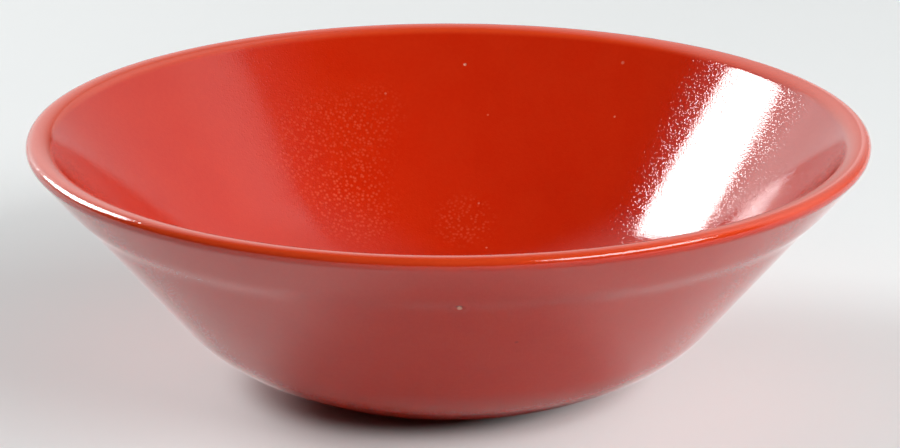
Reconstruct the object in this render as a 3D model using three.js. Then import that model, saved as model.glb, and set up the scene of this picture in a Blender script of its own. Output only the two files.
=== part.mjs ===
import * as THREE from 'three';

// A round cereal bowl in glazed earthenware: a flared wall on a low foot ring, a soft collar under a
// thick rounded lip, and one glaze inside and out. Millimetres, +Z up. The origin is the middle of the
// face that the foot ring stands on, which lies on Z = 0.

// Overall sizes, over the glaze
const rimRadius = 80;
const bowlHeight = 49.85;
const glazeThickness = 0.35;

// Foot ring, and the shallow well inside it
const footOuterRadius = 24.2;
const footWidth = 4.2;
const footTaper = 0.4;
const footHeight = 1.65;
const footEdgeRounding = 0.5;
const footFillet = 0.8;
const wellDepth = 1.75;
const wellFillet = 0.9;
const glazeLineHeight = 0.8;

// Outside of the clay, from the foot up to the lip
const heelRadius = 32.4;
const heelHeight = 2.8;
const heelRounding = 40;
const bellyRadius = 47.45;
const bellyHeight = 10.2;
const bellyRounding = 32.5;
const collarHeight = 7.7;
const collarDepth = 0.5;
const collarRamp = 3;
const collarRounding = 25;

// Lip: a tight outer edge, then a crown that falls away to the inner edge
const lipRounding = 1.15;
const crownRounding = 5.25;
const lipWidth = 3.85;
const lipInnerRounding = 2.7;

// Inside of the clay
const floorThickness = 4.6;
const floorDish = 0.5;
const insideSetback = 7.1;
const insideRounding = 45;

// Facets: how many go round the axis, how far a facet may leave its arc, and its largest turn
const facetsAround = 56;
const facetError = 0.1;
const facetTurn = 38;

const toRadians = THREE.MathUtils.degToRad;
const at = (radius, height) => new THREE.Vector2(radius, height);
const towards = (angle) => at(Math.cos(angle), Math.sin(angle));
const clay = { rimRadius: rimRadius - glazeThickness, height: bowlHeight - glazeThickness };

// How many facets an arc needs, at least two.
function facetsFor(turn, radius) {
  const widest = 2 * Math.acos(Math.max(0, 1 - facetError / radius));
  return Math.max(2, Math.ceil(turn / Math.min(widest, toRadians(facetTurn)) - 1e-6));
}

// The points of an arc that starts at a point and turns about its centre by a signed angle.
function arcPoints(start, centre, turn) {
  const facets = facetsFor(Math.abs(turn), start.distanceTo(centre));
  const place = (step) => start.clone().rotateAround(centre, (turn * step) / facets);
  return Array.from({ length: facets + 1 }, (_, step) => place(step));
}

// The points of an outline through corners, each a place with the radius of its rounding. An arc leaves
// both of its straight sides as a tangent, and two arcs that want more than their side share it.
function roundedOutline(corners) {
  const sides = corners.slice(1).map((next, index) => next.place.clone().sub(corners[index].place));
  const turns = corners.map((_, index) => {
    const [arriving, leaving] = [sides[index - 1], sides[index]];
    return arriving && leaving ? Math.atan2(arriving.cross(leaving), arriving.dot(leaving)) : 0;
  });
  const wanted = corners.map(({ rounding = 0 }, index) => rounding * Math.tan(Math.abs(turns[index]) / 2));
  const share = (side) => Math.min(1, sides[side].length() / (wanted[side] + wanted[side + 1] + 1e-9));
  return corners.flatMap(({ place, rounding = 0 }, index) => {
    if (!rounding || !turns[index]) return [place.clone()];
    const scale = Math.min(share(index - 1), share(index));
    const arriving = sides[index - 1].clone().normalize();
    const start = place.clone().addScaledVector(arriving, -wanted[index] * scale);
    const toCentre = at(-arriving.y, arriving.x).multiplyScalar(Math.sign(turns[index]) * rounding * scale);
    return arcPoints(start, start.clone().add(toCentre), turns[index]);
  });
}

// Outline, from the axis under the bowl, out over the foot, up the outside, over the lip and down the
// inside to the axis again

const footInnerRadius = footOuterRadius - footWidth;
const wellEdge = at(footInnerRadius - footTaper * (glazeLineHeight / wellDepth), glazeLineHeight);
const glazeLine = at(footOuterRadius + footTaper * (glazeLineHeight / footHeight), glazeLineHeight);

// The glazed well inside the foot ring.
function wellOutline() {
  return roundedOutline([
    { place: at(0, wellDepth) },
    { place: at(footInnerRadius - footTaper, wellDepth), rounding: wellFillet },
    { place: wellEdge },
  ]);
}

// The bare edge of the foot ring, which stands on the table.
function bareFootOutline() {
  return roundedOutline([
    { place: wellEdge },
    { place: at(footInnerRadius, 0), rounding: footEdgeRounding },
    { place: at(footOuterRadius, 0), rounding: footEdgeRounding },
    { place: glazeLine },
  ]);
}

// The glazed clay from the glaze line outside, up over the lip and down to the middle of the floor.
function glazedOutline() {
  const lipCentre = at(clay.rimRadius - lipRounding, clay.height - lipRounding);
  const belly = at(bellyRadius, bellyHeight);

  // The wall is the line from the belly that would pass inside the lip's arc by the collar's depth
  const toLip = lipCentre.clone().sub(belly);
  const wallAngle = toLip.angle() - Math.asin((lipRounding - collarDepth) / toLip.length());
  const wall = towards(wallAngle);
  const outwards = at(wall.y, -wall.x);
  const onWall = (height) => belly.clone().addScaledVector(wall, (height - belly.y) / wall.y);
  const collarFoot = lipCentre.y - collarHeight;
  const collarLow = onWall(collarFoot - collarRamp);
  const collarHigh = onWall(collarFoot).addScaledVector(outwards, collarDepth);

  const lipStart = lipCentre.clone().addScaledVector(outwards, lipRounding);
  const lipArc = arcPoints(lipStart, lipCentre, Math.PI - wallAngle);

  // The crown starts level on top of the lip, and stops where its slope still leaves the inner edge
  // the room for its own rounding
  const lipTop = at(lipCentre.x, clay.height);
  const edgeRoom = lipInnerRounding / 4;
  const crownTurn = Math.asin((lipWidth - lipRounding - edgeRoom) / crownRounding);
  const crown = arcPoints(lipTop, at(lipTop.x, lipTop.y - crownRounding), crownTurn);
  const crownEnd = crown.at(-1);
  const innerEdge = at(crownEnd.x - edgeRoom, crownEnd.y - edgeRoom * Math.tan(crownTurn));
  const floorHeight = wellDepth + floorThickness;

  const outside = roundedOutline([
    { place: glazeLine },
    { place: at(footOuterRadius + footTaper, footHeight), rounding: footFillet },
    { place: at(heelRadius, heelHeight), rounding: heelRounding },
    { place: belly, rounding: bellyRounding },
    { place: collarLow, rounding: collarRounding },
    { place: collarHigh, rounding: collarRounding },
    { place: lipStart },
  ]);
  const inside = roundedOutline([
    { place: crownEnd },
    { place: innerEdge, rounding: lipInnerRounding },
    { place: at(bellyRadius - insideSetback, floorHeight), rounding: insideRounding },
    { place: at(0, floorHeight - floorDish) },
  ]);
  return [...outside.slice(0, -1), ...lipArc, ...crown.slice(1), ...inside.slice(1)];
}

// Solids

// Turns an outline that starts and ends on the axis into a solid that stands along Z.
function turned(outline) {
  return new THREE.LatheGeometry(outline, facetsAround).rotateX(Math.PI / 2);
}

// The outer face of a glaze over a stretch of outline. Each point moves out square to the clay by the
// glaze's thickness, a point on the axis stays on it, and the glaze thins to nothing at its bare edge.
function glazeFace(surface, bareEdge) {
  const headings = surface.slice(1).map((next, index) => next.clone().sub(surface[index]).normalize());
  return surface.map((place, index) => {
    if (index === bareEdge) return place.clone();
    const arriving = headings[Math.max(index - 1, 0)];
    const leaving = headings[Math.min(index, headings.length - 1)];
    const mitre = arriving.clone().add(leaving).divideScalar(1 + arriving.dot(leaving));
    const face = place.clone().addScaledVector(at(mitre.y, -mitre.x), glazeThickness);
    return place.x === 0 ? at(0, face.y) : face;
  });
}

const well = wellOutline();
const glazed = glazedOutline();

function clayBodySolid() {
  return turned([...well, ...bareFootOutline().slice(1, -1), ...glazed]);
}

function glazeCoatSolid() {
  const face = glazeFace(glazed, 0);
  return turned([...glazed.slice().reverse(), ...face.slice(1)]);
}

function footWellGlazeSolid() {
  const face = glazeFace(well, well.length - 1);
  return turned([...face, ...well.slice(0, -1).reverse()]);
}

// Finishes: pale fired earthenware, and a glossy red-orange glaze on the bowl and in the foot's well

const firedClay = new THREE.MeshStandardMaterial({ color: 0xd9c7b0, roughness: 0.85, metalness: 0 });
const coatGlaze = new THREE.MeshStandardMaterial({ color: 0xb8270d, roughness: 0.12, metalness: 0 });
const wellGlaze = new THREE.MeshStandardMaterial({ color: 0xa5240f, roughness: 0.2, metalness: 0 });

function piece(name, geometry, material) {
  const mesh = new THREE.Mesh(geometry, material);
  mesh.name = name;
  return mesh;
}

const bowl = new THREE.Group();
bowl.name = 'cereal_bowl';
bowl.add(
  piece('clay_body', clayBodySolid(), firedClay),
  piece('glaze_coat', glazeCoatSolid(), coatGlaze),
  piece('foot_well_glaze', footWellGlazeSolid(), wellGlaze),
);

export default bowl;
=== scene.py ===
"""A glazed cereal bowl: its turned earthenware body, the red coat of glaze over it, and the glaze in the
shallow well inside its foot ring, with a floor, lamps and a camera.

An outline is an array of complex numbers, each a distance from the bowl's axis plus a height times 1j,
in metres. It runs from the axis under the bowl out over the foot, up the outside, over the lip and down
the inside to the axis again, so the clay is always on its left.
"""

import math
from typing import NamedTuple

import bpy
import numpy as np
from bpy.props import FloatProperty, FloatVectorProperty, PointerProperty
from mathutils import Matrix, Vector


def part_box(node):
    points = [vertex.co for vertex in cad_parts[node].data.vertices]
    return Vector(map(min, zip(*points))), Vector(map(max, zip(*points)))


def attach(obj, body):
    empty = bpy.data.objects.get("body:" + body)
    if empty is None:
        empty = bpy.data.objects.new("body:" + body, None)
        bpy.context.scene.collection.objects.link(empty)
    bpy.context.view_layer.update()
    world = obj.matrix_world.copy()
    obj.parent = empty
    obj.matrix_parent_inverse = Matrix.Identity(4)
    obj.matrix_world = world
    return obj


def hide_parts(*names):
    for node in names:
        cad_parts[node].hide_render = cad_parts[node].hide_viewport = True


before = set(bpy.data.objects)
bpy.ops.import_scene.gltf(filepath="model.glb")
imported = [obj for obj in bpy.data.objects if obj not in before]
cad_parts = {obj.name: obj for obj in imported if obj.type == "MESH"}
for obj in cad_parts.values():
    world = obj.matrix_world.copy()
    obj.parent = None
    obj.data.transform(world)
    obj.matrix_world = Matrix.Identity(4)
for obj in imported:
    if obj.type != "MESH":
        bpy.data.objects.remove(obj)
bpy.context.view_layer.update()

bl_info = {
    "name": "Cereal Bowl",
    "version": (1, 0, 0),
    "blender": (4, 5, 0),
    "location": "View3D > Sidebar > Bowl",
    "description": "Turns a glazed cereal bowl and sets it on a lit floor",
    "category": "Add Mesh",
}

MILLIMETRE = 0.001
CLAY_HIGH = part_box("clay_body")[1]
COAT_LOW, COAT_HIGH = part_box("glaze_coat")
WELL_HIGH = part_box("foot_well_glaze")[1]


# Settings

def length(name, description, default):
    """A length property in metres."""
    return FloatProperty(
        name=name, description=description, default=default,
        unit="LENGTH", subtype="DISTANCE", precision=6,
    )


def number(name, description, default):
    """A plain number property."""
    return FloatProperty(name=name, description=description, default=default, precision=3)


def colour(name, description, default):
    """A colour property, in linear light."""
    return FloatVectorProperty(
        name=name, description=description, default=default, size=3, min=0, max=1, subtype="COLOR"
    )


class BowlSizes(bpy.types.PropertyGroup):
    """The turned form. Radii are from the axis and heights from the table."""

    rim_radius: length("Rim radius", "Over the glaze", COAT_HIGH.x)
    bowl_height: length("Height", "Over the glaze", COAT_HIGH.z)
    glaze_thickness: length("Glaze thickness", "Over the clay", COAT_HIGH.z - CLAY_HIGH.z)
    glaze_line: length("Glaze line", "Height at which the glaze stops above the dry foot", COAT_LOW.z)
    bead_width: length("Bead width", "How far the glaze takes to swell from its edge", 1.1 * MILLIMETRE)

    foot_outer_radius: length("Foot radius", "Outside the foot ring", 24.2 * MILLIMETRE)
    foot_width: length("Foot width", "Of the foot ring", 4.2 * MILLIMETRE)
    foot_taper: length("Foot taper", "How far each side of the foot leans", 0.4 * MILLIMETRE)
    foot_height: length("Foot height", "Of the foot's outer side", 1.65 * MILLIMETRE)
    foot_rounding: length("Foot rounding", "Of the two edges it stands on", 0.5 * MILLIMETRE)
    foot_fillet: length("Foot fillet", "Where the foot meets the wall", 0.8 * MILLIMETRE)
    well_depth: length("Well depth", "Of the hollow inside the foot", WELL_HIGH.z)
    well_fillet: length("Well fillet", "Round the hollow inside the foot", 0.9 * MILLIMETRE)

    heel_radius: length("Heel radius", "Where the wall leaves the foot", 32.4 * MILLIMETRE)
    heel_height: length("Heel height", "Where the wall leaves the foot", 2.8 * MILLIMETRE)
    heel_rounding: length("Heel rounding", "Radius of the curve there", 40 * MILLIMETRE)
    belly_radius: length("Belly radius", "Where the wall turns up", 47.45 * MILLIMETRE)
    belly_height: length("Belly height", "Where the wall turns up", 10.2 * MILLIMETRE)
    belly_rounding: length("Belly rounding", "Radius of the curve there", 32.5 * MILLIMETRE)
    collar_height: length("Collar height", "From the collar's foot to the lip", 7.7 * MILLIMETRE)
    collar_depth: length("Collar depth", "How far the collar stands proud", 0.5 * MILLIMETRE)
    collar_ramp: length("Collar ramp", "Over which the collar rises", 3 * MILLIMETRE)
    collar_rounding: length("Collar rounding", "Radius of its two curves", 25 * MILLIMETRE)

    lip_rounding: length("Lip rounding", "Of the clay outside the lip", 1.15 * MILLIMETRE)
    crown_rounding: length("Crown rounding", "Of the clay on top of the lip", 5.25 * MILLIMETRE)
    lip_width: length("Lip width", "Across the clay", 3.85 * MILLIMETRE)
    lip_inner_rounding: length("Inner edge", "Rounding of the lip's inner edge", 2.7 * MILLIMETRE)
    floor_thickness: length("Floor thickness", "Of the clay", 4.6 * MILLIMETRE)
    floor_dish: length("Floor dish", "How far the floor falls to its middle", 0.5 * MILLIMETRE)
    inside_setback: length("Inside setback", "Of the inner belly from the outer", 7.1 * MILLIMETRE)
    inside_rounding: length("Inside rounding", "Radius of the inner belly's curve", 45 * MILLIMETRE)


class GlazeLook(bpy.types.PropertyGroup):
    """Colours and surface detail of the glaze and the clay."""

    red: colour("Glaze", "The coat's colour", (0.588, 0.021, 0.003))
    # Part thin glaze and part painted light: the lip's top is paler where light falls on it
    thin_lit_red: colour("Thin glaze", "Where the coat runs thin over an edge", (0.78, 0.078, 0.018))
    well_red: colour("Well glaze", "In the foot's well", (0.40, 0.016, 0.004))
    clay: colour("Clay", "Bare fired clay", (0.66, 0.54, 0.41))
    thin_lit_heights: FloatVectorProperty(
        name="Thin heights", description="Between which the coat thins over the lip", size=2,
        default=(48.2 * MILLIMETRE, 49.2 * MILLIMETRE), unit="LENGTH", precision=6,
    )
    thin_lit_share: number("Thin share", "How far its colour goes to the thin glaze's there", 0.6)
    roughness: number("Glaze roughness", "How far its gloss is blurred", 0.045)
    ior: number("Glaze IOR", "How strongly it bends light", 1.52)
    mottle_width: length("Mottle width", "Of the faint patches of colour", 9 * MILLIMETRE)
    mottle_share: number("Mottle share", "How strong those patches are", 0.05)
    fine_mottle_width: length("Fine mottle width", "Of the smaller patches", 0.9 * MILLIMETRE)
    fine_mottle_share: number("Fine mottle share", "How strong the smaller patches are", 0.04)
    # Painted glints: pale dots in patches where the gloss would catch the light
    painted_glint: colour("Freckles", "Fine pale spots in patches of the coat", (0.88, 0.16, 0.07))
    painted_glint_gap: length("Freckle gap", "From one freckle to the next", 0.8 * MILLIMETRE)
    peel_grain: length("Peel grain", "Width of the fine ripple", 0.3 * MILLIMETRE)
    peel_depth: length("Peel depth", "Depth of the fine ripple", 0.009 * MILLIMETRE)
    dimple_gap: length("Dimple gap", "From one dimple to the next", 0.5 * MILLIMETRE)
    dimple_depth: length("Dimple depth", "Depth of the scattered dimples", 0.014 * MILLIMETRE)
    swell_width: length("Swell width", "Of the faint swells, as deep as the ripple", 5 * MILLIMETRE)
    wave_depth: length("Wave depth", "Of the long swells left by the glaze", 0.02 * MILLIMETRE)
    grain_width: length("Clay grain", "Width of the bare clay's grain", 0.35 * MILLIMETRE)
    grain_depth: length("Clay grain depth", "Depth of the bare clay's grain", 0.06 * MILLIMETRE)
    clay_patch_width: length("Clay patches", "Width of the clay's paler patches", 4 * MILLIMETRE)
    clay_dark: number("Clay dark", "The darkest clay's share of its colour", 0.72)
    clay_roughness: number("Clay roughness", "Of the bare clay", 0.85)


class StageLook(bpy.types.PropertyGroup):
    """The floor, its painted glow for the camera and the gloss, and the camera."""

    floor: colour("Floor", "The table's colour", (0.66, 0.684, 0.684))
    floor_bounce: colour("Floor bounce", "The table's colour as it lights the bowl", (0.57, 0.585, 0.585))
    # Painted light: the floor glows for the camera, lifting its shadows, except in a dark patch left of
    # the foot
    painted_floor_lift: number("Floor glow", "How much the table's glow lifts its shadows", 0.19)
    painted_lift_gap_side: length("Glow side", "How far left of the axis its dark patch lies", 8 * MILLIMETRE)
    painted_lift_start: length("Glow start", "How far from there the glow starts", 27 * MILLIMETRE)
    painted_lift_full: length("Glow full", "How far from there the glow is full", 37 * MILLIMETRE)
    # Painted reflection: the floor glows in the gloss alone, except in a dark patch before the bowl
    painted_gloss_lift: number("Gloss glow", "How much the table glows in the gloss", 0.36)
    painted_gloss_gap_ahead: length("Gloss ahead", "How far before the axis its dark patch lies", 34 * MILLIMETRE)
    painted_gloss_start: length("Gloss start", "How far from there that glow starts", 30 * MILLIMETRE)
    painted_gloss_full: length("Gloss full", "How far from there that glow is full", 46 * MILLIMETRE)
    backdrop: number("Backdrop", "How pale the wall behind the table is", 0.85)
    camera_distance: length("Camera distance", "In front of the axis", 689.0 * MILLIMETRE)
    camera_height: length("Camera height", "Above the table", 250.2 * MILLIMETRE)
    aim_height: length("Aim height", "Where the camera looks, on the axis", 30.7 * MILLIMETRE)
    aim_side: length("Aim side", "How far right of the axis it looks", 0.30 * MILLIMETRE)
    lens: number("Lens", "Focal length in millimetres", 151.0)


# Outlines

FINE_STEP = 0.02 * MILLIMETRE
BEND_WINDOW = 41
TINY = 1e-9


def arc(start, centre, turn):
    """An arc: the start carried round the centre through equal parts of the turn, as its offset from the
    centre times e to the power of 1j times the angle so far."""
    steps = 2 + int(abs(turn) * abs(start - centre) / FINE_STEP)
    return centre + (start - centre) * np.exp(1j * np.linspace(0, turn, steps))


def rounded(corners):
    """An outline through corners, each a place and the radius of its rounding. An arc leaves both of its
    straight sides as a tangent, and two arcs that want more than their side share it."""
    places = np.array([place for place, _ in corners], complex)
    roundings = np.array([rounding for _, rounding in corners], float)
    sides = np.diff(places)
    turns = np.zeros(len(places))
    turns[1:-1] = np.angle(sides[1:] / sides[:-1])
    wanted = roundings * np.tan(abs(turns) / 2)
    share = np.minimum(1, abs(sides) / (wanted[1:] + wanted[:-1] + TINY))
    stretches = []
    for index, place in enumerate(places):
        if wanted[index] == 0:
            stretches.append(place)
            continue
        scale = min(share[index - 1], share[index])
        arriving = sides[index - 1] / abs(sides[index - 1])
        start = place - arriving * wanted[index] * scale
        centre = start + 1j * arriving * np.sign(turns[index]) * roundings[index] * scale
        stretches.append(arc(start, centre, turns[index]))
    return np.hstack(stretches)


class Outline:
    """An outline resampled at even fine steps, with its run, its heading and its bend: how fast the
    heading turns, averaged over a window of steps."""

    def __init__(self, places):
        run = np.append(0, np.cumsum(abs(np.diff(places))))
        self.run = np.linspace(0, run[-1], int(run[-1] / FINE_STEP))
        self.places = np.interp(self.run, run, places)
        heading = np.gradient(self.places)
        self.heading = heading / abs(heading)
        bend = np.gradient(np.unwrap(np.angle(self.heading)), self.run)
        self.bend = np.convolve(abs(bend), np.full(BEND_WINDOW, 1 / BEND_WINDOW), "same")

    def at(self, run):
        """The places at those runs."""
        return np.interp(run, self.run, self.places)

    def outward(self, run):
        """The directions square to the outline, away from the clay."""
        heading = np.interp(run, self.run, self.heading)
        return -1j * heading / abs(heading)

    def run_at(self, height, inside):
        """The run at which the outer or the inner face passes a height."""
        top = np.argmax(self.places.imag)
        if inside:
            return np.interp(-height, -self.places.imag[top:], self.run[top:])
        return np.interp(height, self.places.imag[:top], self.run[:top])


def crowded(fine, density, count):
    """A count of places along a fine line, closer where the density is higher: the density's running sum
    is cut into equal parts."""
    middle = (density[1:] + density[:-1]) / 2 * np.diff(fine)
    total = np.append(0, np.cumsum(middle))
    return np.interp(np.linspace(0, total[-1], count), total, fine)


def clay_sizes(sizes):
    """The clay's own rim radius and height, under the glaze."""
    return sizes.rim_radius - sizes.glaze_thickness, sizes.bowl_height - sizes.glaze_thickness


def well_edge(sizes):
    """Where the well's glaze stops, on the foot's inner side."""
    inner_radius = sizes.foot_outer_radius - sizes.foot_width
    lean = sizes.foot_taper * sizes.glaze_line / sizes.well_depth
    return inner_radius - lean + 1j * sizes.glaze_line


def coat_edge(sizes):
    """Where the coat stops, on the foot's outer side."""
    lean = sizes.foot_taper * sizes.glaze_line / sizes.foot_height
    return sizes.foot_outer_radius + lean + 1j * sizes.glaze_line


def well_outline(sizes):
    """The clay under the well's glaze, from the axis to the glaze's edge."""
    inner_radius = sizes.foot_outer_radius - sizes.foot_width
    return rounded([
        (1j * sizes.well_depth, 0),
        (inner_radius - sizes.foot_taper + 1j * sizes.well_depth, sizes.well_fillet),
        (well_edge(sizes), 0),
    ])


def bare_foot_outline(sizes):
    """The dry edge of the foot ring, between the two glazes."""
    return rounded([
        (well_edge(sizes), 0),
        (sizes.foot_outer_radius - sizes.foot_width, sizes.foot_rounding),
        (sizes.foot_outer_radius, sizes.foot_rounding),
        (coat_edge(sizes), 0),
    ])


def coated_outline(sizes):
    """The clay under the coat: up the outside, over the lip and down the inside to the axis."""
    rim, height = clay_sizes(sizes)
    lip_centre = rim - sizes.lip_rounding + 1j * (height - sizes.lip_rounding)
    belly = sizes.belly_radius + 1j * sizes.belly_height

    # The wall would pass inside the lip's arc by the collar's depth
    to_lip = lip_centre - belly
    wall_angle = np.angle(to_lip) - math.asin((sizes.lip_rounding - sizes.collar_depth) / abs(to_lip))
    wall = np.exp(1j * wall_angle)
    outward = -1j * wall
    collar_foot = lip_centre.imag - sizes.collar_height
    low = belly + wall * (collar_foot - sizes.collar_ramp - belly.imag) / wall.imag
    high = belly + wall * (collar_foot - belly.imag) / wall.imag + outward * sizes.collar_depth

    lip = arc(lip_centre + outward * sizes.lip_rounding, lip_centre, math.pi - wall_angle)

    # The crown starts level on top of the lip, and leaves the inner edge the room for its own rounding
    edge_room = sizes.lip_inner_rounding / 4
    crown_turn = math.asin((sizes.lip_width - sizes.lip_rounding - edge_room) / sizes.crown_rounding)
    crown = arc(lip[-1], lip[-1] - 1j * sizes.crown_rounding, crown_turn)
    inner_edge = crown[-1] - edge_room * (1 + 1j * math.tan(crown_turn))
    floor_height = sizes.well_depth + sizes.floor_thickness
    outside = rounded([
        (coat_edge(sizes), 0),
        (sizes.foot_outer_radius + sizes.foot_taper + 1j * sizes.foot_height, sizes.foot_fillet),
        (sizes.heel_radius + 1j * sizes.heel_height, sizes.heel_rounding),
        (belly, sizes.belly_rounding),
        (low, sizes.collar_rounding),
        (high, sizes.collar_rounding),
        (lip[0], 0),
    ])
    inside = rounded([
        (crown[-1], 0),
        (inner_edge, sizes.lip_inner_rounding),
        (sizes.belly_radius - sizes.inside_setback + 1j * floor_height, sizes.inside_rounding),
        (1j * (floor_height - sizes.floor_dish), 0),
    ])
    return np.hstack([outside[:-1], lip, crown[1:], inside[1:]])


# Flaws in the glaze

class Flaw(NamedTuple):
    """A burst bubble: a pit with a raised ring, at an angle in degrees round from +X and a height on one
    face. Its lengths are in millimetres."""

    angle: float
    height: float
    inside: bool
    pit_radius: float
    pit_depth: float
    ring_radius: float
    ring_height: float


class Speck(NamedTuple):
    """A round spot in the glaze, a painted highlight or painted shade in a burst bubble, or a round patch
    of
    painted glints: its angle in degrees, its height and radius in millimetres, and its tone, from -1 for
    dark to 1 for pale."""

    angle: float
    height: float
    inside: bool
    radius: float
    tone: float


class Wave(NamedTuple):
    """A long swell that winds round the bowl: how many times it rises in one turn, its radians for each
    metre along the outline, and its start in radians."""

    count: int
    pitch: float
    start: float


FLAWS = (
    Flaw(-88.5, 38.56, False, 0.45, 0.25, 1.3, 0.05),
    Flaw(87.2, 42.9, True, 0.3, 0.15, 0.6, 0.02),
)
SPECKS_AND_PIT_LIGHT = (
    # Painted shade: the dark upper edge of the outside burst bubble
    Speck(-88.5, 38.8, False, 0.9, -0.35),
    # Painted highlight: the pale spot low in the outside burst bubble
    Speck(-88.45, 38.3, False, 0.6, 0.95),
    Speck(-79.1, 28.9, False, 0.5, -0.3),
    # Painted highlight: the pale spot in the inside pinhole
    Speck(87.2, 42.9, True, 0.42, 0.8),
    Speck(82.6, 34.2, True, 0.3, 0.3),
    Speck(60.3, 45.3, True, 0.5, 0.3),
    Speck(58.3, 36.0, True, 0.3, 0.6),
    Speck(101.3, 38.1, True, 0.35, 0.25),
    Speck(82.9, 19.0, True, 0.3, 0.3),
    Speck(79.3, 12.3, True, 0.3, 0.3),
    Speck(23.0, 49.6, True, 0.35, 0.4),
    Speck(11.9, 49.7, True, 0.35, 0.4),
)
# Patches of painted glints on the inside
PAINTED_GLINT_PATCHES = (
    Speck(115, 29, True, 17, 0.28),
    Speck(113, 19, True, 12, 0.28),
    Speck(104, 35, True, 9, 0.14),
    Speck(86, 16, True, 8, 0.26),
)
WAVES = (Wave(2, 31, 0.4), Wave(3, 47, 1.9), Wave(5, 83, 2.6), Wave(7, 120, 5.1), Wave(4, 210, 3.3))
WAVE_FADE_RADIUS = 20 * MILLIMETRE


def angle_between(angles, angle):
    """The signed difference of two angles, from minus pi to pi."""
    return (angles - angle + math.pi) % (2 * math.pi) - math.pi


def spot_run(outline, spot):
    """The run of a flaw or a speck along the outline."""
    return outline.run_at(spot.height * MILLIMETRE, spot.inside)


def flaw_relief(outline, run, angles):
    """How far each flaw lifts or sinks the surface. Its pit sinks by its depth times e to the power of
    minus the square of the distance over the pit's radius. Its ring rises by its height times the same
    bell of the distance from the ring's own circle, over the ring's width."""
    relief = np.zeros((len(run), len(angles)))
    for flaw in FLAWS:
        centre = spot_run(outline, flaw)
        across = outline.at(centre).real * angle_between(angles, math.radians(flaw.angle))
        distance = np.hypot(run[:, None] - centre, across[None, :]) / MILLIMETRE
        ring_width = (flaw.ring_radius - flaw.pit_radius) / 2
        relief -= flaw.pit_depth * np.exp(-((distance / flaw.pit_radius) ** 2))
        relief += flaw.ring_height * np.exp(-(((distance - flaw.ring_radius) / ring_width) ** 2))
    return relief * MILLIMETRE


def mark_place(outline, mark, sizes):
    """The middle of a speck on the face of the glaze."""
    run = spot_run(outline, mark)
    place = outline.at(run) + outline.outward(run) * sizes.glaze_thickness
    angle = math.radians(mark.angle)
    return place.real * math.cos(angle), place.real * math.sin(angle), place.imag


def wave_relief(outline, run, angles):
    """The mean of a few waves that wind round the bowl, each the sine of its count times the angle, plus
    its pitch times the run, plus its start. It is shifted to lie between minus one and nought, so that
    it only thins the glaze, and it fades out in line with the radius near the axis."""
    swell = sum(
        np.sin(wave.count * angles[None, :] + wave.pitch * run[:, None] + wave.start) for wave in WAVES
    )
    fade = np.clip(outline.at(run).real / WAVE_FADE_RADIUS, 0, 1)[:, None]
    return fade * (swell / len(WAVES) - 1) / 2


# Meshes

AROUND = 300
COAT_RINGS = 250
HIDDEN_RINGS = 70
FOOT_RINGS = 60
BEND_CROWDING = 3 * MILLIMETRE
COAT_BEND_CROWDING = 2.4 * MILLIMETRE
FINE_ANGLES = 20001


def add(name, data):
    """A new object in the scene."""
    made = bpy.data.objects.new(name, data)
    bpy.context.scene.collection.objects.link(made)
    return made


def turned(name, rings, angles):
    """A closed surface of turning. The first and last rings lie on the axis and become its poles. A ring
    place r + zj at angle a stands at x = r cos a, y = r sin a, z."""
    inner = rings[1:-1]
    points = np.stack([inner.real * np.cos(angles), inner.real * np.sin(angles), inner.imag], axis=-1)
    poles = [[0, 0, rings[0].imag.mean()], [0, 0, rings[-1].imag.mean()]]
    ring_count, around = inner.shape
    point = np.arange(ring_count * around).reshape(ring_count, around)
    after = np.roll(point, -1, axis=1)
    first_pole = ring_count * around
    quads = np.stack([point[:-1], after[:-1], after[1:], point[1:]], axis=-1).reshape(-1, 4)
    start = np.stack([np.full(around, first_pole), after[0], point[0]], axis=-1)
    end = np.stack([point[-1], after[-1], np.full(around, first_pole + 1)], axis=-1)
    faces = [*quads.tolist(), *start.tolist(), *end.tolist()]
    mesh = bpy.data.meshes.new(name)
    mesh.from_pydata(np.vstack([points.reshape(-1, 3), poles]), [], faces)
    mesh.polygons.foreach_set("use_smooth", np.ones(len(mesh.polygons), bool))
    mesh.validate()
    return add(name, mesh)


def angles_round():
    """Angles round the bowl, closer together in a bell round each flaw: their density is one, plus the
    crowding times e to the power of minus the square of the angle from it over the spread."""
    flaw_crowding, flaw_spread = 22, 0.03
    fine = np.linspace(-math.pi, math.pi, FINE_ANGLES)
    density = np.ones_like(fine)
    for flaw in FLAWS:
        away = angle_between(fine, math.radians(flaw.angle))
        density += flaw_crowding * np.exp(-((away / flaw_spread) ** 2))
    return crowded(fine, density, AROUND + 1)[:-1]


def coat_runs(outline, count):
    """Runs along the coated clay, closer together on curves, in line with the bend, and in a bell round
    each flaw, as the angles are."""
    flaw_crowding, flaw_spread = 5, 1.4 * MILLIMETRE
    density = 1 + COAT_BEND_CROWDING * outline.bend
    for flaw in FLAWS:
        away = outline.run - spot_run(outline, flaw)
        density += flaw_crowding * np.exp(-((away / flaw_spread) ** 2))
    return crowded(outline.run, density, count)


def plain_runs(outline, count):
    """Runs along an outline, closer together on curves, in line with the bend."""
    return crowded(outline.run, 1 + BEND_CROWDING * outline.bend, count)


def bead(run, sizes):
    """The glaze's share of its thickness near its edge, which swells as a quarter of an ellipse: the root
    of one less the square of the share of the bead's width that is still to come."""
    return np.sqrt(1 - (1 - np.clip(run / sizes.bead_width, 0, 1)) ** 2)


# Materials

# Pale and dark spots in the glaze, also used as painted highlights and painted shade in the burst bubbles
PALE_SPECK_AND_HIGHLIGHT = (0.85, 0.42, 0.26)
DARK_SPECK_AND_SHADE = (0.10, 0.008, 0.004)

# A spot's full core as a share of its radius, and the radii of painted glints and dimples as shares of
# their gap
SPOT_CORE = 0.4
GLINT_CORE = 0.05
GLINT_EDGE = 0.55
DIMPLE_EDGE = 0.45

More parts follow.
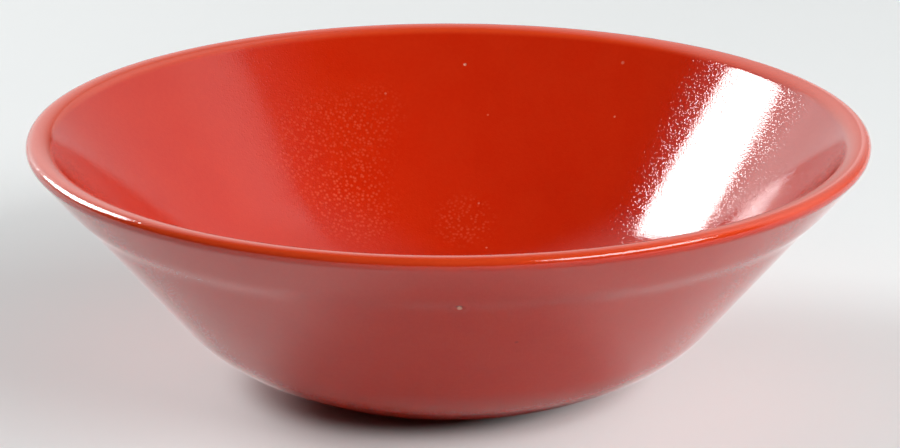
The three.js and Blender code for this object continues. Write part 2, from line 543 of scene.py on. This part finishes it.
# The part of a noise that is stretched to run from 0 to 1
NOISE_MIDDLE = (0.35, 0.65)


def set_stops(elements, stops):
    """Gives a colour ramp its stops, each a place from 0 to 1 and a level of grey."""
    while len(elements) < len(stops):
        elements.new(0.5)
    for element, (position, level) in zip(elements, stops):
        element.position = position
        element.color = (level, level, level, 1)


class Shade:
    """A value on its way through a material. An expression on it adds Math nodes."""

    def __init__(self, finish, socket):
        self.finish = finish
        self.socket = socket

    def math(self, operation, *values):
        """One Math node."""
        return self.finish.node("ShaderNodeMath", {"operation": operation}, dict(enumerate(values)))

    def __add__(self, other):
        return self.math("ADD", self, other)

    def __sub__(self, other):
        return self.math("SUBTRACT", self, other)

    def __rsub__(self, other):
        return self.math("SUBTRACT", other, self)

    def __mul__(self, other):
        return self.math("MULTIPLY", self, other)

    __radd__ = __add__
    __rmul__ = __mul__


class Finish:
    """A material or world and the nodes that make it."""

    def __init__(self, owner):
        owner.use_nodes = True
        self.owner = owner
        self.tree = owner.node_tree
        self.tree.nodes.clear()

    def node(self, kind, settings=None, inputs=None, output=0):
        """Adds a node, with its settings first and then the values or links of its sockets."""
        made = self.tree.nodes.new(kind)
        for name, value in (settings or {}).items():
            if name == "stops":
                set_stops(made.color_ramp.elements, value)
            else:
                setattr(made, name, value)
        for key, value in (inputs or {}).items():
            if isinstance(value, Shade):
                self.tree.links.new(value.socket, made.inputs[key])
            else:
                made.inputs[key].default_value = value
        return Shade(self, made.outputs[output]) if made.outputs else made

    def place(self):
        """The place on the object, in metres."""
        return self.node("ShaderNodeTexCoord", output="Object")

    def away(self, middle):
        """How far the place on the object is from a middle, in metres."""
        inputs = {0: self.place(), 1: middle}
        return self.node("ShaderNodeVectorMath", {"operation": "DISTANCE"}, inputs, output="Value")

    def cells(self, gap):
        """How far the place is from the middle of its cell of a random pattern, as a share of the gap."""
        inputs = {"Vector": self.place(), "Scale": 1 / gap}
        return self.node("ShaderNodeTexVoronoi", inputs=inputs, output="Distance")

    def noise(self, width, detail=2.0, roughness=0.5):
        """A noise from 0 to 1 whose lumps are about as wide as told."""
        inputs = {"Vector": self.place(), "Scale": 1 / width, "Detail": detail, "Roughness": roughness}
        return self.node("ShaderNodeTexNoise", inputs=inputs)

    def step(self, value, low, high):
        """A smooth step from 0 to 1 as a value goes from low to high."""
        settings = {"interpolation_type": "SMOOTHSTEP"}
        inputs = {"Value": value, "From Min": low, "From Max": high}
        return self.node("ShaderNodeMapRange", settings, inputs)

    def spot(self, middle, radius):
        """1 in the core of a round spot, fading to 0 at its radius."""
        return 1 - self.step(self.away(middle), SPOT_CORE * radius, radius)

    def patches(self, noise):
        """A noise with its middle stretched to run from 0 to 1."""
        return self.step(noise, *NOISE_MIDDLE)

    def mix(self, factor, first, second):
        """A colour between two colours."""
        colours = [value if isinstance(value, Shade) else (*value, 1) for value in (first, second)]
        inputs = {0: factor, 6: colours[0], 7: colours[1]}
        return self.node("ShaderNodeMix", {"data_type": "RGBA"}, inputs, output=2)

    def bump(self, height, distance, normal=None):
        """A normal tilted by a height from 0 to 1 that stands for a distance."""
        inputs = {"Height": height, "Distance": distance}
        if normal:
            inputs["Normal"] = normal
        return self.node("ShaderNodeBump", inputs=inputs)

    def output(self, shader, kind="ShaderNodeOutputMaterial"):
        """Ends the nodes."""
        self.node(kind, inputs={"Surface": shader})
        return self.owner


def with_specks_and_pit_light(finish, body, specks_and_pit_light):
    """A colour with round spots, each a place and its mark, that fade out towards their edges. Some are
    painted highlights and painted shade in the burst bubbles.
    """
    for place, mark in specks_and_pit_light:
        share = abs(mark.tone) * finish.spot(place, mark.radius * MILLIMETRE)
        body = finish.mix(share, body, PALE_SPECK_AND_HIGHLIGHT if mark.tone > 0 else DARK_SPECK_AND_SHADE)
    return body


def with_painted_glints(finish, body, pale, gap, patches):
    """A colour with fine pale painted glints, at most one in each cell of a random pattern, in round
    patches that fade out towards their edges."""
    painted_glint = 1 - finish.step(finish.cells(gap), GLINT_CORE, GLINT_EDGE)
    for place, patch in patches:
        share = patch.tone * painted_glint * finish.spot(place, patch.radius * MILLIMETRE)
        body = finish.mix(share, body, pale)
    return body


def glaze_finish(name, red, thin_lit_red, look, specks_and_pit_light=(), patches=()):
    """Glossy red-orange glaze: scattered dimples, a fine ripple, faint swells, mottling, a paler lip for
    thin glaze and painted light, patches of painted glints, and spots with painted highlights and painted
    shade in the burst bubbles. A dimple lies in the middle of a cell of a random pattern, with a radius of
    nearly half the gap."""
    finish = Finish(bpy.data.materials.new(name))
    mottle = look.mottle_share * finish.patches(finish.noise(look.mottle_width, 3.0))
    fine_mottle = look.fine_mottle_share * finish.patches(finish.noise(look.fine_mottle_width, 2.0))
    height = finish.node("ShaderNodeSeparateXYZ", inputs={0: finish.place()}, output="Z")
    # Part thin glaze, part painted light: paler towards the top of the lip
    thin = look.thin_lit_share * finish.step(height, *look.thin_lit_heights)
    body = finish.mix(mottle + fine_mottle + thin, tuple(red), tuple(thin_lit_red))
    body = with_painted_glints(finish, body, tuple(look.painted_glint), look.painted_glint_gap, patches)
    peel = finish.noise(look.peel_grain, 0.0)
    swell = finish.noise(look.swell_width, 1.0)
    dimple = finish.step(finish.cells(look.dimple_gap), 0, DIMPLE_EDGE)
    normal = finish.bump(peel, look.peel_depth, finish.bump(swell, look.peel_depth))
    normal = finish.bump(dimple, look.dimple_depth, normal)
    shader = finish.node("ShaderNodeBsdfPrincipled", inputs={
        "Base Color": with_specks_and_pit_light(finish, body, specks_and_pit_light),
        "Roughness": look.roughness,
        "IOR": look.ior,
        "Normal": normal,
    })
    return finish.output(shader)


def clay_finish(look):
    """Dry buff earthenware, with a fine grain and paler and darker patches."""
    finish = Finish(bpy.data.materials.new("fired_clay"))
    grain = finish.noise(look.grain_width, 4.0, 0.7)
    patches = finish.noise(look.clay_patch_width, 3.0)
    pale = tuple(look.clay)
    dark = tuple(look.clay_dark * part for part in look.clay)
    body = finish.mix(finish.patches(0.6 * grain + 0.4 * patches), dark, pale)
    shader = finish.node("ShaderNodeBsdfPrincipled", inputs={
        "Base Color": body,
        "Roughness": look.clay_roughness,
        "Normal": finish.bump(grain, look.grain_depth),
    })
    return finish.output(shader)


# Pieces

def settle(piece, node, material):
    """Gives a piece its finish, sets it on the bowl's body and lets it stand for its CAD node."""
    piece.data.materials.append(material)
    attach(piece, "root")
    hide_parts(node)


class BOWL_OT_clay_body(bpy.types.Operator):
    """Turns the clay body, from the well under the foot to the lip and the floor"""

    bl_idname = "bowl.clay_body"
    bl_label = "Clay Body"

    def execute(self, context):
        sizes = context.scene.bowl_sizes
        outline = Outline(coated_outline(sizes))
        foot = Outline(np.hstack([well_outline(sizes), bare_foot_outline(sizes)[1:]]))
        places = np.hstack([
            foot.at(plain_runs(foot, FOOT_RINGS))[:-1],
            outline.at(plain_runs(outline, HIDDEN_RINGS)),
        ])
        angles = angles_round()
        rings = np.repeat(places[:, None], len(angles), axis=1)
        piece = turned("bowl_clay_body", rings, angles)
        settle(piece, "clay_body", clay_finish(context.scene.glaze_look))
        return {"FINISHED"}


class BOWL_OT_glaze_coat(bpy.types.Operator):
    """Turns the coat of glaze, with its bead, its swells and its burst bubbles"""

    bl_idname = "bowl.glaze_coat"
    bl_label = "Glaze Coat"

    def execute(self, context):
        sizes = context.scene.bowl_sizes
        look = context.scene.glaze_look
        outline = Outline(coated_outline(sizes))
        angles = angles_round()
        under = outline.at(plain_runs(outline, HIDDEN_RINGS))[::-1]
        run = coat_runs(outline, COAT_RINGS)[1:]
        relief = look.wave_depth * wave_relief(outline, run, angles) + flaw_relief(outline, run, angles)
        thickness = (sizes.glaze_thickness + relief) * bead(run, sizes)[:, None]
        face = outline.at(run)[:, None] + outline.outward(run)[:, None] * thickness
        rings = np.vstack([np.repeat(under[:, None], len(angles), axis=1), face])
        piece = turned("bowl_glaze_coat", rings, angles)
        specks_and_pit_light, patches = (
            [(mark_place(outline, mark, sizes), mark) for mark in group]
            for group in (SPECKS_AND_PIT_LIGHT, PAINTED_GLINT_PATCHES)
        )
        finish = glaze_finish("red_glaze", look.red, look.thin_lit_red, look, specks_and_pit_light, patches)
        settle(piece, "glaze_coat", finish)
        return {"FINISHED"}


class BOWL_OT_foot_well_glaze(bpy.types.Operator):
    """Turns the glaze in the well inside the foot ring"""

    bl_idname = "bowl.foot_well_glaze"
    bl_label = "Foot Well Glaze"

    def execute(self, context):
        sizes = context.scene.bowl_sizes
        look = context.scene.glaze_look
        outline = Outline(well_outline(sizes))
        angles = angles_round()
        run = plain_runs(outline, FOOT_RINGS)
        to_edge = outline.run[-1] - run
        face = outline.at(run) + outline.outward(run) * sizes.glaze_thickness * bead(to_edge, sizes)
        places = np.hstack([face, outline.at(run)[-2::-1]])
        rings = np.repeat(places[:, None], len(angles), axis=1)
        piece = turned("bowl_foot_well_glaze", rings, angles)
        finish = glaze_finish("well_glaze", look.well_red, look.red, look)
        settle(piece, "foot_well_glaze", finish)
        return {"FINISHED"}


# Stage

class Lamp(NamedTuple):
    """A flat lamp that faces the bowl, placed by its bearing from +Y towards +X and its elevation. The
    gloss doesn't show it."""

    name: str
    bearing: float
    elevation: float
    width: float
    height: float
    watts: float


class Card(NamedTuple):
    """A softbox as it shows in the gloss: an evenly bright sheet with corners across and up, which faces
    the bowl from a bearing and an elevation."""

    name: str
    bearing: float
    elevation: float
    glow: float
    corners: tuple


class Glow(NamedTuple):
    """A soft pool of light in the gloss, by its middle's bearing and elevation and its half width."""

    bearing: float
    elevation: float
    spread: float
    level: float


class Scrim(NamedTuple):
    """An upright glowing veil square to a bearing, which shows in the gloss and adds to what is behind
    it. Its glow goes through stops from its left side to its right."""

    name: str
    bearing: float
    distance: float
    left: float
    right: float
    bottom: float
    top: float
    stops: tuple


LAMPS = (
    Lamp("softbox", -58.9, 32, 0.50, 0.54, 10.4),
    Lamp("front_lamp", 131, 33, 0.85, 0.36, 11.0),
    Lamp("side_lamp", 92, 36, 0.80, 0.50, 5.0),
    Lamp("fill_lamp", 180, 35, 0.80, 0.60, 0.8),
)
CARDS = (
    Card("softbox_card", -58.9, 32, 28,
         ((0.05, 0.20), (0.30, 0.06), (0.34, -0.15), (0.20, -0.42), (-0.30, -0.42), (-0.33, -0.27),
          (-0.17, -0.02), (-0.03, 0.20))),
    Card("front_card", 131, 33, 13, ((-0.40, -0.18), (0.50, -0.18), (0.50, 0.18), (-0.40, 0.18))),
)
SCRIMS = (
    Scrim("side_scrim", 43, 0.7, -0.45, 0.85, 0.0, 1.325,
          ((0.0, 0.69), (0.21, 0.69), (0.36, 0.40), (0.5, 0.455), (0.64, 0.76), (0.79, 0.98), (1.0, 0.5))),
    Scrim("back_glow", -32, 1.3, -0.33, 0.45, 0.0, 0.75,
          ((0.0, 0.70), (0.15, 0.70), (0.3, 1.0), (0.5, 0.35), (0.7, 0.10), (1.0, 0.04))),
)
GLOWS = (
    Glow(330, 22, 50, 1.35),
    Glow(60, 45, 40, 0.5),
)
LAMP_DISTANCE = 1.2
LAMP_TARGET = Vector((0, 0, 0.04))
FLOOR_HALF_WIDTH = 6.0
SENSOR_WIDTH = 36


def towards(bearing, elevation):
    """A direction from a bearing and an elevation in degrees."""
    bearing, elevation = math.radians(bearing), math.radians(elevation)
    level = math.cos(elevation)
    return Vector((math.sin(bearing) * level, math.cos(bearing) * level, math.sin(elevation)))


def add_sheet(name, corners, material):
    """A flat sheet through its corners, which isn't part of the bowl."""
    mesh = bpy.data.meshes.new(name)
    mesh.from_pydata(corners, [], [tuple(range(len(corners)))])
    mesh.materials.append(material)
    sheet = add(name, mesh)
    return sheet


def face_bowl(hung, bearing, elevation):
    """Hangs a lamp or a card where it faces the bowl."""
    direction = towards(bearing, elevation)
    hung.location = LAMP_TARGET + direction * LAMP_DISTANCE
    hung.rotation_euler = direction.to_track_quat("Z", "Y").to_euler()


def hang_lamp(lamp):
    """Hangs a flat lamp that neither the camera nor the gloss sees."""
    light = bpy.data.lights.new(lamp.name, "AREA")
    light.shape = "RECTANGLE"
    light.size = lamp.width
    light.size_y = lamp.height
    light.energy = lamp.watts
    hung = add(lamp.name, light)
    face_bowl(hung, lamp.bearing, lamp.elevation)
    hung.visible_camera = False
    hung.visible_glossy = False


def hang_card(card):
    """Hangs a bright sheet that only the gloss shows."""
    finish = Finish(bpy.data.materials.new(card.name))
    shader = finish.node("ShaderNodeEmission", inputs={"Color": (1, 1, 1, 1), "Strength": card.glow})
    corners = [(across, up, 0) for across, up in card.corners]
    hung = add_sheet(card.name, corners, finish.output(shader))
    face_bowl(hung, card.bearing, card.elevation)
    hung.visible_camera = False
    hung.visible_diffuse = False
    hung.visible_shadow = False


def hang_scrim(scrim):
    """Hangs a glowing veil that the camera itself doesn't see."""
    finish = Finish(bpy.data.materials.new(scrim.name))
    across = finish.node("ShaderNodeSeparateXYZ", inputs={0: finish.place()}, output="X")
    share = (across - scrim.left) * (1 / (scrim.right - scrim.left))
    level = finish.node("ShaderNodeValToRGB", {"stops": scrim.stops}, {"Fac": share})
    glow = finish.node("ShaderNodeEmission", inputs={"Color": level, "Strength": 1.0})
    clear = finish.node("ShaderNodeBsdfTransparent")
    shader = finish.node("ShaderNodeAddShader", inputs={0: glow, 1: clear})
    left, right, bottom, top = scrim.left, scrim.right, scrim.bottom, scrim.top
    corners = [(left, 0, bottom), (right, 0, bottom), (right, 0, top), (left, 0, top)]
    hung = add_sheet(scrim.name, corners, finish.output(shader))
    hung.location = towards(scrim.bearing, 0) * scrim.distance
    hung.rotation_euler = (0, 0, -math.radians(scrim.bearing))
    hung.visible_camera = False
    hung.visible_diffuse = False


def lay_floor(look):
    """A wide level floor under the bowl. A painted glow lifts its shadows for the camera, and a painted
    reflection makes it paler in the gloss; each leaves out a dark patch near the foot, where the shadow is
    deep.
    """
    finish = Finish(bpy.data.materials.new("floor"))
    camera = finish.node("ShaderNodeLightPath", output="Is Camera Ray")
    glossy = finish.node("ShaderNodeLightPath", output="Is Glossy Ray")
    beside = finish.away((-look.painted_lift_gap_side, 0, 0))
    ahead = finish.away((0, -look.painted_gloss_gap_ahead, 0))
    # Painted light lifting the floor's shadows for the camera
    painted_lift = camera * finish.step(beside, look.painted_lift_start, look.painted_lift_full) * look.painted_floor_lift
    # Painted reflection: a paler floor in the gloss
    painted_sheen = glossy * finish.step(ahead, look.painted_gloss_start, look.painted_gloss_full) * look.painted_gloss_lift
    seen = camera.math("MAXIMUM", camera, glossy)
    shader = finish.node("ShaderNodeBsdfPrincipled", inputs={
        "Base Color": finish.mix(seen, tuple(look.floor_bounce), tuple(look.floor)),
        "Roughness": 0.9,
        "Specular IOR Level": 0.2,
        "Emission Color": painted_lift + painted_sheen,
        "Emission Strength": 1.0,
    })
    half = FLOOR_HALF_WIDTH
    corners = [(-half, -half, 0), (half, -half, 0), (half, half, 0), (-half, half, 0)]
    add_sheet("floor", corners, finish.output(shader))


def hang_backdrop(look):
    """A world that is pale to the camera, and dark in the gloss but for its soft pools of light."""
    finish = Finish(bpy.data.worlds.new("backdrop"))
    direction = finish.node("ShaderNodeTexCoord", output="Generated")
    camera = finish.node("ShaderNodeLightPath", output="Is Camera Ray")
    glossy = finish.node("ShaderNodeLightPath", output="Is Glossy Ray")
    light = 0
    for glow in GLOWS:
        inputs = {0: direction, 1: towards(glow.bearing, glow.elevation)}
        near = finish.node("ShaderNodeVectorMath", {"operation": "DOT_PRODUCT"}, inputs, output="Value")
        light = light + glow.level * finish.step(near, math.cos(math.radians(glow.spread)), 1)
    level = camera * look.backdrop + glossy * light
    shader = finish.node("ShaderNodeBackground", inputs={"Color": level})
    bpy.context.scene.world = finish.output(shader, "ShaderNodeOutputWorld")


def set_camera(look):
    """A long lens in front of the bowl, looking down at its axis. The lens and its sensor are measured in
    millimetres."""
    camera = bpy.data.cameras.new("camera")
    camera.lens = look.lens
    camera.sensor_width = SENSOR_WIDTH
    stand = add("camera", camera)
    stand.location = (0, -look.camera_distance, look.camera_height)
    aim = Vector((look.aim_side, 0, look.aim_height))
    stand.rotation_euler = (aim - stand.location).to_track_quat("-Z", "Y").to_euler()
    bpy.context.scene.camera = stand


class BOWL_OT_stage(bpy.types.Operator):
    """Lays the floor, hangs the lamps and the backdrop, and sets the camera"""

    bl_idname = "bowl.stage"
    bl_label = "Stage"

    def execute(self, context):
        look = context.scene.stage_look
        lay_floor(look)
        hang_backdrop(look)
        for lamp in LAMPS:
            hang_lamp(lamp)
        for card in CARDS:
            hang_card(card)
        for scrim in SCRIMS:
            hang_scrim(scrim)
        set_camera(look)
        context.scene.view_settings.view_transform = "Standard"
        return {"FINISHED"}


class BOWL_PT_panel(bpy.types.Panel):
    """Lists the bowl's pieces, sizes and colours"""

    bl_idname = "BOWL_PT_panel"
    bl_label = "Cereal Bowl"
    bl_space_type = "VIEW_3D"
    bl_region_type = "UI"
    bl_category = "Bowl"

    def draw(self, context):
        for operator in OPERATORS:
            self.layout.operator(operator.bl_idname)
        for group in GROUPS:
            settings = getattr(context.scene, group)
            for name in settings.__annotations__:
                self.layout.prop(settings, name)


GROUPS = {"bowl_sizes": BowlSizes, "glaze_look": GlazeLook, "stage_look": StageLook}
OPERATORS = (BOWL_OT_clay_body, BOWL_OT_glaze_coat, BOWL_OT_foot_well_glaze, BOWL_OT_stage)
CLASSES = (*GROUPS.values(), *OPERATORS, BOWL_PT_panel)


def register():
    """Registers the classes and gives each scene its settings."""
    for made in CLASSES:
        bpy.utils.register_class(made)
    for name, group in GROUPS.items():
        setattr(bpy.types.Scene, name, PointerProperty(type=group))


def unregister():
    """Takes the settings and the classes away again."""
    for name in GROUPS:
        delattr(bpy.types.Scene, name)
    for made in reversed(CLASSES):
        bpy.utils.unregister_class(made)


def main():
    """Makes the pieces and the stage."""
    register()
    bpy.ops.bowl.clay_body()
    bpy.ops.bowl.glaze_coat()
    bpy.ops.bowl.foot_well_glaze()
    bpy.ops.bowl.stage()


if __name__ == "__main__":
    main()
